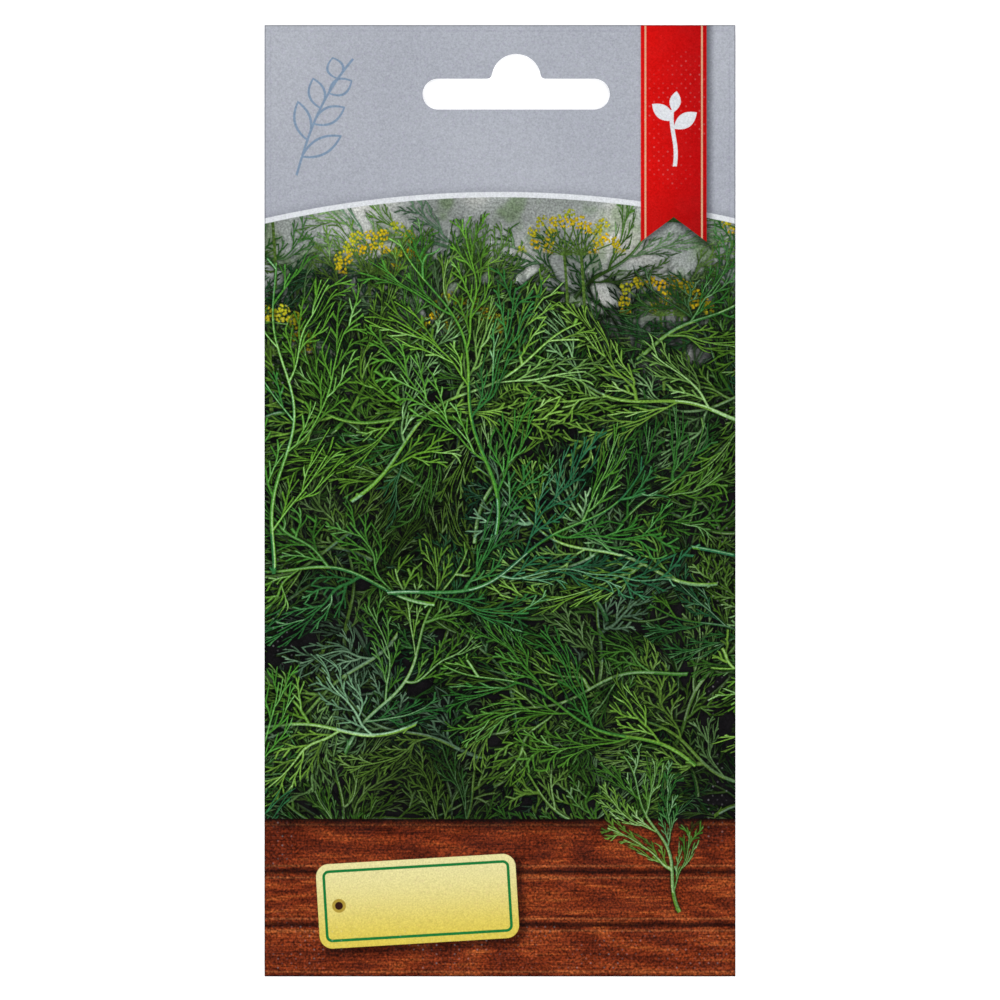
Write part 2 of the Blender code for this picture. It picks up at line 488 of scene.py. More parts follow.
def umbel_group():
    """A field of flat flower heads on stalks, each a fan of rays that end in clusters of tiny flowers."""
    pen, (x, y, dots, seed, top, foot) = group_pen(
        "umbel field",
        inputs=("X", "Y", "Dots", "Seed", "Top", "Foot"),
        outputs=("Flower", "Stalk", "Light", "Tint"),
    )
    across = x / UMBEL_CELL_WIDTH + seed * 0.37
    column = pen.floor(across)
    down = y / UMBEL_CELL_LENGTH + column * 0.43 + seed * 0.19
    row = pen.floor(down)
    place_draw, size_draw, chance = pen.draws(column, row, seed)
    v = (across - column - 0.5) * UMBEL_CELL_WIDTH + (place_draw - 0.5) * 3.0
    u = (down - row - 0.5) * UMBEL_CELL_LENGTH
    height = (row + 0.5 - column * 0.43 - seed * 0.19) * UMBEL_CELL_LENGTH
    missing = chance > pen.smooth(height, top, top - 4.0) * pen.smooth(height, foot, foot + 4.0)
    fork = u - 1.0
    size = 0.75 + 0.45 * size_draw
    angle = pen.maths("ARCTAN2", v, fork)
    reach = pen.from_origin(v, fork)
    ray = pen.floor(angle / RAY_ANGLE + 0.5)
    sideways = abs(pen.sine(angle - ray * RAY_ANGLE)) * reach
    ray_draw, ray_light, _ = pen.draws(ray, column + row * 0.7, seed)
    past = reach - size * (0.72 + 0.4 * ray_draw) * RAY_LENGTH
    behind = abs(angle) - RAY_SPREAD
    line = pen.most(sideways - RAY_HALF_WIDTH, past, behind)
    stalk = pen.most(abs(v + pen.sine(u * 0.16) * 0.5) - STALK_HALF_WIDTH, fork, -(u + STALK_LENGTH))
    cluster = pen.maths("SQRT", past * past * 1.8 + sideways * sideways) - (0.5 + 0.75 * size)
    flower = pen.most(cluster, (dots - 0.46) * 0.6, behind) + missing * NOWHERE
    close_group(
        pen,
        Flower=pen.smooth(flower, 0.08, -0.08),
        Stalk=pen.smooth(pen.least(line, stalk) + missing * NOWHERE, 0.06, -0.06),
        Light=(0.6 + 0.4 * ray_light) * pen.smooth(dots, 0.6, 0.0),
        Tint=ray_draw,
    )
    return pen.tree


# The front's layout, in millimetres in the packet's frame
PICTURE_SIDE_TOP = 47.5
PICTURE_ARCH = 4.5
OPEN_AIR_FROM = 31.0
OPEN_AIR_TO = 47.0
UMBEL_TOP = 50.0
UMBEL_FOOT = 18.0
BOARD_TOP = -54.0
PLANK_HEIGHT = 9.0
TAG_MIDDLE = (-14.0, -68.0)
TAG_HALF = (17.0, 7.2)
TAG_CORNER = 2.2
TAG_LEAN = 0.06
EYELET_FROM_EDGE = 3.6
RIBBON_MIDDLE = 29.5
RIBBON_HALF_WIDTH = 5.6
RIBBON_FOOT = 44.0
RIBBON_NOTCH = 4.2
SEEDLING_HEIGHT = 62.0
SPRIG_FOOT = (-34.5, 55.5)
SPRIG_LENGTH = 21.5
SPRIG_LEAVES = 6

# The back's boxes: each one's middle height, half width, half height and corner radius
BACK_PANEL = (-6.0, 36.0, 60.0, 2.0)
BACK_BAND = (43.0, 33.0, 7.5, 1.6)
BACK_TABLE = (-22.0, 30.0, 12.0, 0.1)
BACK_BLANK = (-50.0, 24.0, 9.0, 1.0)
CELL_WIDTH = 5.0
CELL_HEIGHT = 6.0
RULE_PITCH = 3.2
DISC_RADIUS = 5.2
DISC_SPACING = 18.0

# Colours of the print, on the 0 to 255 scale of a picture viewer
WHITE_INK = srgb(222, 226, 230)
CLOTH = srgb(164, 170, 166)
GAP = srgb(14, 12, 14)
PALE_THREAD = srgb(176, 200, 168)
LINE_GREEN = srgb(34, 112, 58)
LINE_GREY = srgb(120, 124, 126)

INK_STRENGTH = 0.84  # how bright the ink itself is for a colour to look as given under the lamps

# How strongly the printing screen's dots show in the picture, and how much more in the board
PICTURE_SCREEN = 1.5
BOARD_SCREEN = 2.2

# Each field of fronds: its turn in degrees, size, brightness, share of cells filled, and how high and low it
# reaches. The first are the deepest.
DEEP_LAYERS = [
    (62, 0.95, 0.12, 1.0, 54, -70),
    (-48, 0.9, 0.16, 1.0, 52, -70),
    (20, 1.0, 0.22, 0.95, 52, -70),
    (-80, 1.0, 0.30, 0.9, 46, -66),
    (-15, 1.05, 0.38, 0.85, 50, -66),
]
MIDDLE_LAYERS = [
    (50, 1.0, 0.5, 0.75, 44, -62),
    (115, 1.2, 0.62, 0.7, 34, -62),
]
NEAR_LAYERS = [
    (-38, 1.15, 0.8, 0.65, 42, -60),
    (82, 1.3, 1.02, 0.6, 32, -56),
    (-66, 1.4, 1.22, 0.55, 36, -58),
    (10, 1.5, 1.42, 0.6, 40, -58),
]
FRINGE_LAYERS = [
    (30, 0.8, 0.8, 1.0, BOARD_TOP + 9, BOARD_TOP - 10),
    (-28, 0.75, 1.0, 1.0, BOARD_TOP + 8, BOARD_TOP - 8),
]
LAYER_SEED_STEP = 1.7
FROND_SHADE = (0.3, 0.33, 0.3)
OPEN_AIR_LIGHT = 0.62
OPEN_AIR_SHADE_LOSS = 0.6


def picture_edge(pen, x, y):
    """Distance above the picture's arched upper edge."""
    share = x / (WIDTH / 2)
    return y - (PICTURE_SIDE_TOP + PICTURE_ARCH) + PICTURE_ARCH * share * share


def frond_colour(pen, tint):
    return pen.ramp(
        tint,
        (0.1, srgb(44, 112, 72)),
        (0.3, srgb(58, 128, 44)),
        (0.5, srgb(100, 156, 44)),
        (0.68, srgb(128, 178, 66)),
        (0.85, srgb(122, 170, 128)),
    )


def draw_fronds(pen, x, y, colour, layers, fronds, first_seed, open_air):
    """Lays fields of fronds over a colour. Where open_air is 1, the deep ones are lit too and shade less."""
    for number, (turn, size, brightness, share, top, foot) in enumerate(layers):
        made = use_group(
            pen, fronds, X=x, Y=y, Turn=math.radians(turn), Size=size,
            Seed=first_seed + LAYER_SEED_STEP * number, Share=share, Top=float(top), Foot=float(foot),
        )
        shadow = made["Shadow"] - made["Shadow"] * open_air * OPEN_AIR_SHADE_LOSS
        colour = pen.shaded(shadow, colour, FROND_SHADE)
        light = made["Light"]
        pale = pen.smooth(light, 0.75, 1.2) * 0.5
        leaf = pen.mix(pale, frond_colour(pen, made["Tint"]), PALE_THREAD)
        leaf = pen.scaled(leaf, pen.most(light * brightness, light * open_air * OPEN_AIR_LIGHT))
        colour = pen.mix(made["Cover"], colour, leaf)
    return colour


def board_colour(pen, spot, x, y):
    """Brown planks with a flowing grain."""
    seam = (y - BOARD_TOP) / PLANK_HEIGHT
    plank = pen.floor(seam)
    tone, _, _ = pen.draws(plank, 3.0, 1.0)
    broad = pen.noise(pen.stretched(spot, (0.3, 1.0, 1.0), 0.12), 0.06, detail=2.0, shift=plank * 3.7)
    rings = pen.sine(broad * 70.0 + y * 0.8)
    fine = pen.noise(pen.stretched(spot, (0.12, 1.6, 1.0), 0.16), 1.3, 3.0, 0.6, shift=plank * 5.1)
    streak = pen.noise(pen.stretched(spot, (0.07, 1.9, 1.0), 0.2), 2.2, 2.0, 0.6, shift=plank * 2.3)
    tones = pen.ramp(
        fine * 0.45 + streak * 0.5 + rings * 0.07 + tone * 0.08,
        (0.3, srgb(58, 18, 8)),
        (0.45, srgb(99, 36, 14)),
        (0.56, srgb(122, 49, 20)),
        (0.7, srgb(158, 80, 36)),
    )
    from_seam = abs(seam - pen.floor(seam + 0.5)) * PLANK_HEIGHT
    tones = pen.shaded(pen.smooth(from_seam, 0.75, 0.1), tones, (0.22, 0.2, 0.2))
    lit = pen.smooth(abs(from_seam - 1.0), 0.3, 0.0)
    return pen.mix(lit * 0.25, tones, srgb(190, 120, 70))


def tag_colour(pen, colour, x, y):
    """A blank paper tag with a thin green line and an eyelet."""
    tag_x = x - TAG_MIDDLE[0]
    tag_y = y - TAG_MIDDLE[1]
    right = tag_x + tag_y * TAG_LEAN
    up = tag_y - tag_x * TAG_LEAN
    shape = pen.box(right, up, *TAG_HALF, TAG_CORNER)
    shadow = pen.smooth(pen.box(right - 0.7, up + 0.9, *TAG_HALF, TAG_CORNER), 1.4, -0.4)
    colour = pen.shaded(shadow, colour, (0.3, 0.28, 0.28))
    paper = pen.mix(pen.smooth(up, -7.0, 7.0), srgb(222, 202, 84), srgb(232, 224, 160))
    line = pen.smooth(abs(shape + 1.3), 0.3, 0.18)
    paper = pen.mix(line, paper, srgb(20, 120, 56))
    eyelet_x = right + TAG_HALF[0] - EYELET_FROM_EDGE
    eyelet = pen.from_origin(eyelet_x, up)
    paper = pen.mix(pen.smooth(eyelet, 1.25, 1.1), paper, srgb(176, 150, 60))
    paper = pen.mix(pen.smooth(eyelet, 0.75, 0.6), paper, srgb(50, 24, 16))
    return pen.painted(shape, colour, paper)


def leaf_shape(pen, x, y, turn, length, width):
    """Distance outside a leaf that grows from the origin, turned by some degrees, negative inside."""
    right, up = pen.turned(x, y, math.radians(turn))
    share = right / length
    bulge = share * (1.0 - share) * 4.0
    return pen.most(abs(up) - bulge * width, -right, right - length)


def ribbon_colour(pen, colour, x, y):
    """A plain red ribbon that hangs from the packet's top edge, with a white seedling on it."""
    across = x - RIBBON_MIDDLE
    foot = RIBBON_FOOT + pen.most(0.0, RIBBON_NOTCH - abs(across) * 0.75)
    shape = pen.most(abs(across) - RIBBON_HALF_WIDTH, foot - y)
    shadow = pen.most(abs(across - 0.6) - RIBBON_HALF_WIDTH, foot - y - 0.9)
    colour = pen.shaded(pen.smooth(shadow, 1.1, -0.6), colour, (0.32, 0.32, 0.34))
    red = pen.mix(pen.smooth(across, -6.0, 6.0), srgb(214, 12, 8), srgb(182, 6, 8))
    fold = pen.smooth(y, 56.0, 46.0)
    red = pen.shaded(fold * 0.5, red, (0.62, 0.6, 0.6))
    line = pen.smooth(abs(abs(across) - (RIBBON_HALF_WIDTH - 0.8)), 0.2, 0.1)
    red = pen.mix(line * 0.75, red, srgb(226, 190, 150))
    up = y - SEEDLING_HEIGHT
    stem = pen.most(abs(across + pen.sine(up * 0.5) * 0.35) - 0.34, up - 4.4, -5.2 - up)
    leaves = pen.least(
        leaf_shape(pen, across, up - 1.2, 35, 4.8, 1.25),
        leaf_shape(pen, across, up - 2.6, 143, 4.6, 1.2),
        leaf_shape(pen, across, up - 4.0, 82, 3.6, 0.95),
    )
    red = pen.painted(pen.least(stem, leaves), red, WHITE_INK)
    return pen.painted(shape, colour, red)


def header_colour(pen, spot):
    """Plain silver film, a little uneven."""
    cloud = pen.noise(spot, 0.03, detail=2.0)
    return pen.mix(pen.smooth(cloud, 0.3, 0.7), srgb(170, 174, 184), srgb(178, 182, 191))


def header_sprig(pen, colour, x, y):
    """A pale blue line drawing of a leafy stem, left of the hang slot."""
    right, up = pen.turned(x - SPRIG_FOOT[0], y - SPRIG_FOOT[1], math.radians(60))
    bow = up - pen.sine(right * 0.11) * 2.2
    marks = [pen.most(abs(bow), -right, right - SPRIG_LENGTH)]
    for number in range(SPRIG_LEAVES):
        side = 1 if number % 2 else -1
        start = 3.0 + 2.9 * number
        rise = math.sin(start * 0.11) * 2.2
        length = 7.4 - 0.75 * number
        leaf = leaf_shape(pen, right - start, up - rise, 38 * side + 6, length, 1.35)
        marks.append(abs(leaf))
    line = pen.least(*marks)
    return pen.mix(pen.smooth(line, 0.3, 0.12) * 0.7, colour, srgb(96, 132, 164))


def grained(pen, spot, colour):
    """The print's fine grain, as light and dark specks, and its strength on the film."""
    grain = pen.noise(spot, 3.4, detail=1.0, roughness=0.7)
    tint = pen.noise(spot, 2.1, detail=1.0, shift=3.0)
    colour = pen.mix((grain - 0.35) * 0.02, colour, srgb(120, 112, 130))
    colour = pen.shaded(pen.smooth(tint, 0.5, 0.8), colour, (0.98, 0.94, 1.0))
    return pen.scaled(colour, (1.0 + (grain - 0.5) * 0.65) * INK_STRENGTH)


def picture_colour(pen, spot, x, y, fronds, umbels):
    """Fronds and flowers growing up before a pale ground, behind a wooden board with a tag on it."""
    haze = pen.noise(spot, 0.07, detail=1.0)
    soft = pen.noise(spot, 0.16, detail=2.0)
    blotch = pen.noise(spot, 0.045, detail=2.0)
    florets = pen.spots(spot, 1.7)
    cloth = pen.ramp(haze, (0.35, srgb(140, 148, 142)), (0.55, CLOTH), (0.7, srgb(196, 196, 190)))
    cloth = pen.mix(pen.smooth(soft, 0.5, 0.66) * 0.6, cloth, srgb(96, 128, 66))
    depth = pen.smooth(y + (haze - 0.5) * 40.0, 40.0, 20.0)
    colour = pen.mix(depth, cloth, GAP)
    open_air = pen.smooth(y, OPEN_AIR_FROM, OPEN_AIR_TO)
    colour = draw_fronds(pen, x, y, colour, DEEP_LAYERS, fronds, 1.0, open_air)
    for seed in (2.0, 5.0):
        made = use_group(pen, umbels, X=x, Y=y, Dots=florets, Seed=seed, Top=UMBEL_TOP, Foot=UMBEL_FOOT)
        green = pen.scaled(srgb(96, 132, 52), 0.5 + 0.5 * made["Light"])
        colour = pen.mix(made["Stalk"], colour, green)
        yellow = pen.mix(made["Tint"], srgb(228, 184, 12), srgb(176, 186, 40))
        colour = pen.mix(made["Flower"], colour, pen.scaled(yellow, 0.45 + 0.6 * made["Light"]))
    colour = draw_fronds(pen, x, y, colour, MIDDLE_LAYERS, fronds, 21.0, open_air)
    colour = pen.scaled(colour, 0.72 + 0.56 * pen.smooth(blotch, 0.36, 0.64))
    colour = draw_fronds(pen, x, y, colour, NEAR_LAYERS, fronds, 41.0, open_air)
    board = board_colour(pen, spot, x, y)
    board = pen.shaded(pen.smooth(y, BOARD_TOP - 3.2, BOARD_TOP), board, (0.25, 0.24, 0.24))
    screen = pen.noise(spot, 2.7, detail=1.0) - 0.5
    board = pen.scaled(board, 1.0 + screen * BOARD_SCREEN)
    colour = pen.painted(y - BOARD_TOP, colour, board)
    colour = draw_fronds(pen, x, y, colour, FRINGE_LAYERS, fronds, 61.0, open_air)
    colour = pen.scaled(colour, 1.0 + screen * PICTURE_SCREEN)
    return tag_colour(pen, colour, x, y)


def front_colour(pen, spot, fronds=None, umbels=None):
    """The front's print. Without the frond fields it draws only what lies above the picture.

    The film's outline is darkened with painted shade, as its cut edge turns down there.
    """
    x, y, _ = pen.split(spot)
    colour = header_colour(pen, spot)
    colour = header_sprig(pen, colour, x, y)
    if fronds is not None:
        above = picture_edge(pen, x, y)
        colour = pen.shaded(pen.smooth(above, 2.2, 0.0) * 0.35, colour, (0.4, 0.4, 0.42))
        picture = picture_colour(pen, spot, x, y, fronds, umbels)
        colour = pen.painted(above, colour, picture)
        colour = pen.painted(abs(above) - 0.45, colour, WHITE_INK)
    colour = ribbon_colour(pen, colour, x, y)
    within = pen.least(WIDTH / 2 - abs(x), LENGTH / 2 - abs(y))
    # Painted shade along the crease 1 mm in from the edge, where the embossed dots stop.
    crease_shade = pen.smooth(abs(within - SEAL_MARGIN), 0.22, 0.05)
    colour = pen.shaded(crease_shade * 0.5, colour, (0.88, 0.87, 0.9))
    # Painted shade along the outline, where the cut edge turns down.
    return pen.shaded(pen.smooth(within, 0.26, 0.1), colour, (0.55, 0.55, 0.55))


# Materials


def new_material(name):
    """A new material, a pen for its nodes, and its shader's inputs."""
    material = bpy.data.materials.new(name)
    material.use_nodes = True
    pen = Pen(material.node_tree)
    return material, pen, material.node_tree.nodes["Principled BSDF"].inputs


def add_bump(pen, surface, height, strength, distance):
    bump = pen.node("Bump")
    pen.feed_all(bump, {"Strength": strength, "Distance": distance, "Height": height})
    pen.tree.links.new(bump.outputs["Normal"], surface["Normal"])


def seal_share(pen, x, y):
    """1 where the webs are sealed together and embossed."""
    from_side = abs(x) - POCKET_HALF_WIDTH
    sealed = pen.most(from_side, y - POCKET_HEAD, POCKET_FOOT - y)
    plain = pen.most(abs(x) - (WIDTH / 2 - SEAL_MARGIN), abs(y) - (LENGTH / 2 - SEAL_MARGIN))
    return pen.smooth(sealed, -0.1, 0.3) * pen.smooth(plain, 0.1, -0.1)


def from_dots(pen, x, y):
    """Distance to the middle of the nearest embossed dot. The dots stand in staggered rows."""
    def from_rows(shift):
        across = x / DOT_PITCH + shift
        along = y / DOT_PITCH + shift
        across = across - pen.floor(across) - 0.5
        along = along - pen.floor(along) - 0.5
        return pen.from_origin(across, along) * DOT_PITCH
    return pen.least(from_rows(0.0), from_rows(0.5))


def film_surface(pen, surface, spot):
    """The satin laminate's gloss, its faint unevenness and the embossing of its seals."""
    x, y, _ = pen.split(spot)
    skin = pen.noise(spot, 2.6, detail=2.0, roughness=0.6)
    dot = pen.smooth(from_dots(pen, x, y), 0.42, 0.12)
    height = skin * 0.0016 + dot * seal_share(pen, x, y) * DOT_RISE
    add_bump(pen, surface, height, 1.0, MM)
    wear = pen.noise(spot, 0.35, detail=3.0)
    pen.feed(surface["Roughness"], 0.2 + 0.08 * pen.smooth(wear, 0.3, 0.7))
    surface["Specular IOR Level"].default_value = 0.3


def picture_material(name, fronds=None, umbels=None):
    """The front's film, with painted glints that lighten some of its embossed dots, in patches."""
    material, pen, surface = new_material(name)
    spot = place(pen)
    colour = grained(pen, spot, front_colour(pen, spot, fronds, umbels))
    x, y, _ = pen.split(spot)
    # Painted glints: the print is lightened towards pale grey on the seals' embossed dots, in patches.
    painted_glint = pen.smooth(from_dots(pen, x, y), 0.24, 0.06) * seal_share(pen, x, y)
    patchy = pen.smooth(pen.noise(spot, 0.11, detail=2.0), 0.42, 0.62)
    uneven = pen.smooth(pen.noise(spot, 0.9, detail=1.0), 0.38, 0.7)
    colour = pen.mix(painted_glint * patchy * uneven * PAINTED_GLINT_STRENGTH, colour, (0.7, 0.7, 0.72))
    pen.feed(surface["Base Color"], colour)
    film_surface(pen, surface, spot)
    return material


def back_pictograms(pen, x, y):
    """Three round fields with a sun, a drop and a seedling, as pairs of distances."""
    sun_x = x - DISC_SPACING
    ray = pen.sine(pen.maths("ARCTAN2", y, sun_x) * 8.0)
    sun = pen.from_origin(sun_x, y) - 2.3 - ray * 0.8
    drop_up = y + 0.9
    narrow = 1.0 + pen.most(drop_up, 0.0) * 0.55
    drop = pen.maths("SQRT", x * x * narrow * narrow + drop_up * drop_up * 0.45) - 2.0
    stem_x = x + DISC_SPACING
    seedling = pen.least(
        pen.most(abs(stem_x) - 0.3, y - 2.0, -3.6 - y),
        leaf_shape(pen, stem_x, y + 0.8, 38, 4.2, 1.0),
        leaf_shape(pen, stem_x, y - 0.6, 142, 4.2, 1.0),
    )
    return [
        (pen.from_origin(sun_x, y) - DISC_RADIUS, sun),
        (pen.from_origin(x, y) - DISC_RADIUS, drop),
        (pen.from_origin(stem_x, y) - DISC_RADIUS, seedling),
    ]


def back_box(pen, x, y, layout):
    middle, half_width, half_height, radius = layout
    return pen.box(x, y - middle, half_width, half_height, radius)


def blank_rules(pen, colour, x, y):
    """Rows of thin grey rules with a ragged right end."""
    rule = y / RULE_PITCH
    from_rule = abs(rule - pen.floor(rule) - 0.5) * RULE_PITCH
    ragged, _, _ = pen.draws(pen.floor(rule), 2.0, 9.0)
    rows = pen.most(from_rule - 0.32, abs(x) - 31.0, -(x + 17.0 + ragged * 14.0), y - 30.0, -6.0 - y)
    return pen.mix(pen.inside(rows) * 0.6, colour, LINE_GREY)


def sowing_table(pen, colour, x, y):
    """A grid of cells, of which some are filled with a colour."""
    table = back_box(pen, x, y, BACK_TABLE)
    cell_x = (x + BACK_TABLE[1]) / CELL_WIDTH
    cell_y = (y - BACK_TABLE[0] + BACK_TABLE[2]) / CELL_HEIGHT
    line_x = abs(cell_x - pen.floor(cell_x + 0.5)) * CELL_WIDTH
    line_y = abs(cell_y - pen.floor(cell_y + 0.5)) * CELL_HEIGHT
    filled, pick, _ = pen.draws(pen.floor(cell_x), pen.floor(cell_y), 4.0)
    swatch = pen.ramp(pick, (0.3, srgb(96, 158, 66)), (0.5, srgb(222, 190, 40)), (0.7, srgb(150, 86, 44)))
    colour = pen.mix(pen.inside(table) * (filled > 0.55), colour, swatch)
    grid = pen.most(pen.least(line_x, line_y) - 0.16, table - 0.16)
    return pen.painted(grid, colour, LINE_GREEN)


def back_material():
    """A plain panel with pictograms, blank rules, a sowing table and an empty frame, on a pale ground."""
    material, pen, surface = new_material("back_print")
    spot = place(pen)
    x, y, _ = pen.split(spot)
    colour = header_colour(pen, spot)
    panel = back_box(pen, x, y, BACK_PANEL)
    colour = pen.painted(panel, colour, srgb(226, 229, 226))
    colour = pen.painted(abs(panel) - 0.25, colour, LINE_GREEN)
    colour = blank_rules(pen, colour, x, y)
    colour = sowing_table(pen, colour, x, y)
    blank = back_box(pen, x, y, BACK_BLANK)
    colour = pen.painted(blank, colour, srgb(240, 240, 240))
    colour = pen.painted(abs(blank) - 0.15, colour, LINE_GREY)
    band = back_box(pen, x, y, BACK_BAND)
    colour = pen.painted(band, colour, srgb(38, 98, 50))
    inks = (srgb(226, 160, 20), srgb(40, 120, 190), srgb(40, 130, 56))
    for ink, (disc, mark) in zip(inks, back_pictograms(pen, x, y - BACK_BAND[0])):
        colour = pen.painted(disc, colour, WHITE_INK)
        colour = pen.painted(mark, colour, ink)
    pen.feed(surface["Base Color"], grained(pen, spot, colour))
    film_surface(pen, surface, spot)
    return material


def inner_material():
    """The webs' inner face: dull metallised film with faint rolling marks."""
    material, pen, surface = new_material("inner_foil")
    spot = place(pen)
    marks = pen.noise(pen.stretched(spot, (4.0, 0.2, 1.0)), 1.0, detail=3.0)
    pen.feed(surface["Base Color"], pen.mix(marks, srgb(150, 152, 156), srgb(206, 208, 212)))
    pen.feed(surface["Roughness"], 0.3 + marks * 0.2)
    surface["Metallic"].default_value = 0.8
    return material


def edge_material():
    """The cut edge of the laminate: pale layers with dark flecks of ink."""
    material, pen, surface = new_material("cut_edge")
    spot = place(pen)
    flecks = pen.smooth(pen.noise(spot, 3.0, detail=2.0), 0.35, 0.7)
    pen.feed(surface["Base Color"], pen.mix(flecks, srgb(196, 200, 204), srgb(120, 124, 128)))
    surface["Roughness"].default_value = 0.55
    return material


def seed_material(name, lightness):
    """Dry brown seed coat, paler along its ribs."""
    material, pen, surface = new_material(name)
    spot = place(pen)
    patch = pen.noise(spot, 0.8, detail=3.0)
    fleck = pen.noise(spot, 7.0, detail=2.0)
    tone = pen.ramp(
        patch * 0.6 + fleck * 0.4,
        (0.3, srgb(84, 56, 34)),
        (0.5, srgb(122, 88, 56)),
        (0.7, srgb(164, 132, 90)),
    )
    pen.feed(surface["Base Color"], pen.scaled(tone, lightness))
    pen.feed(surface["Roughness"], 0.7 + fleck * 0.2)
    add_bump(pen, surface, fleck, 0.6, 0.05 * MM)
    return material


# The two webs of film

# The powers that shape the pocket's swell, as the frame has them
SWELL_ACROSS = 2.4
SWELL_ALONG = 3.0
SWELL_POWER = 1.3
PUCKER_RISE = 0.05


def fill(x, y):
    """How far the pocket is open at points, from 0 at the seals to 1 in its middle."""
    across = np.minimum(np.abs(x) / POCKET_HALF_WIDTH, 1.0)
    along = np.minimum(np.abs(y - POCKET_MIDDLE) / POCKET_HALF_LENGTH, 1.0)
    return ((1 - across**SWELL_ACROSS) * (1 - along**SWELL_ALONG)) ** SWELL_POWER


def dot_rise(x, y):
    """The embossing's rise at grid points, up on every second one of the seals."""
    column = np.rint(x / (DOT_PITCH / 2)).astype(int)
    row = np.rint(y / (DOT_PITCH / 2)).astype(int)
    sealed = (np.abs(x) > POCKET_HALF_WIDTH) | (y > POCKET_HEAD) | (y < POCKET_FOOT)
    inner = (np.abs(x) < WIDTH / 2 - SEAL_MARGIN) & (np.abs(y) < LENGTH / 2 - SEAL_MARGIN)
    return np.where(sealed & inner & ((column + row) % 2 == 0), DOT_RISE, 0.0)


def puckers(x, y):
    """Faint folds that run in from the side seals, where the flat film bends round the contents."""
    opened = fill(x, y)
    near_seal = 4 * np.sqrt(opened) * np.clip(1 - np.sqrt(opened), 0, 1)
    left = np.sin(y * 0.62 + 0.9 * np.sin(y * 0.21)) * (x < 0)
    right = np.sin(y * 0.55 + 1.3 * np.sin(y * 0.17 + 2.0)) * (x >= 0)
    return PUCKER_RISE * near_seal * (left + right) * np.abs(x) / POCKET_HALF_WIDTH


def front_over(x, y):
    rise = THICKNESS - SEAM_HEIGHT - LAMINATE
    return SEAM_HEIGHT + LAMINATE + rise * fill(x, y) + puckers(x, y) * (1 - fill(x, y)) + dot_rise(x, y)


def front_under(x, y):
    return front_over(x, y) - LAMINATE + SEAM_GAP / 2


def back_under(x, y):
    share = np.minimum(fill(x, y) / BACK_FLAT_FROM, 1.0)
    return (SEAM_HEIGHT - LAMINATE) * (1 - share * share * (3 - 2 * share)) + dot_rise(x, y)


def back_over(x, y):
    return back_under(x, y) + LAMINATE - SEAM_GAP / 2


def even_lines(low, high, pitch):
    """Grid lines from low to high, with the ones between on whole multiples of the pitch."""
    inner = np.arange(math.ceil(low / pitch + 0.3), math.floor(high / pitch - 0.3) + 1) * pitch
    return np.concatenate(([low], inner, [high]))


def sheet_mesh(name, under, over):
    """A closed thin sheet between two heights."""
    columns_at = even_lines(-WIDTH / 2, WIDTH / 2, DOT_PITCH / 2)
    rows_at = even_lines(FOOT, TOP, DOT_PITCH / 2)
    xs, ys = np.meshgrid(columns_at, rows_at)
    rows, columns = xs.shape
    high = np.stack([xs, ys, over(xs, ys)], axis=-1).reshape(-1, 3) * MM
    low = np.stack([xs, ys, under(xs, ys)], axis=-1).reshape(-1, 3) * MM
    count = rows * columns
    index = np.arange(count).reshape(rows, columns)
    a, b, c, d = index[:-1, :-1], index[:-1, 1:], index[1:, 1:], index[1:, :-1]
    upper = np.stack([a, b, c, d], axis=-1).reshape(-1, 4)
    lower = upper[:, ::-1] + count
    rim = np.concatenate([index[0, :-1], index[:-1, -1], index[-1, :0:-1], index[:0:-1, 0]])
    ahead = np.roll(rim, -1)
    wall = np.stack([rim + count, ahead + count, ahead, rim], axis=-1)
    mesh = bpy.data.meshes.new(name)
    mesh.from_pydata(np.concatenate([high, low]).tolist(), [], np.concatenate([upper, lower, wall]).tolist())
    mesh.validate()
    return add_object(name, mesh)


def arc(centre, radius, start, stop, count):
    """Points on an arc, with its angles in degrees."""
    turns = np.radians(np.linspace(start, stop, count + 1))
    return [(centre[0] + radius * math.cos(t), centre[1] + radius * math.sin(t)) for t in turns]


def slot_cutter():
    """The punch: a bar with round ends and a half-round dome, taller than the packet is thick."""
    end_radius = SLOT_HEIGHT / 2
    end_x = SLOT_WIDTH / 2 - end_radius
    fillet_x = math.sqrt((DOME_RADIUS + DOME_FILLET) ** 2 - DOME_FILLET**2)
    lean = math.degrees(math.asin(DOME_FILLET / (DOME_RADIUS + DOME_FILLET)))
    outline = arc((end_x, -end_radius), end_radius, -90, 90, 24)
    outline += arc((fillet_x, DOME_FILLET), DOME_FILLET, 270, 180 + lean, 6)
    outline += arc((0, 0), DOME_RADIUS, lean, 180 - lean, 28)[1:-1]
    outline += arc((-fillet_x, DOME_FILLET), DOME_FILLET, -lean, -90, 6)
    outline += arc((-end_x, -end_radius), end_radius, 90, 270, 24)
    mesh = bmesh.new()
    top = TOP - SLOT_BELOW_TOP
    points = [((SLOT_OFFSET + x) * MM, (top + y) * MM, -MM) for x, y in outline]
    face = mesh.faces.new([mesh.verts.new(point) for point in points])
    raised = bmesh.ops.extrude_face_region(mesh, geom=[face])
    corners = [part for part in raised["geom"] if isinstance(part, bmesh.types.BMVert)]
    bmesh.ops.translate(mesh, verts=corners, vec=(0, 0, 5 * MM))
    bmesh.ops.recalc_face_normals(mesh, faces=mesh.faces)
    data = bpy.data.meshes.new("slot_cutter")
    mesh.to_mesh(data)
    mesh.free()
    return add_object("slot_cutter", data)


def punch(thing, cutter):
    """Cuts the slot through a web for good."""
    cut = thing.modifiers.new("hang slot", "BOOLEAN")
    cut.operation = "DIFFERENCE"
    cut.solver = "EXACT"
    cut.object = cutter
    seen = thing.evaluated_get(bpy.context.evaluated_depsgraph_get())
    mesh = bpy.data.meshes.new_from_object(seen)
    thing.modifiers.remove(cut)
    thing.data = mesh


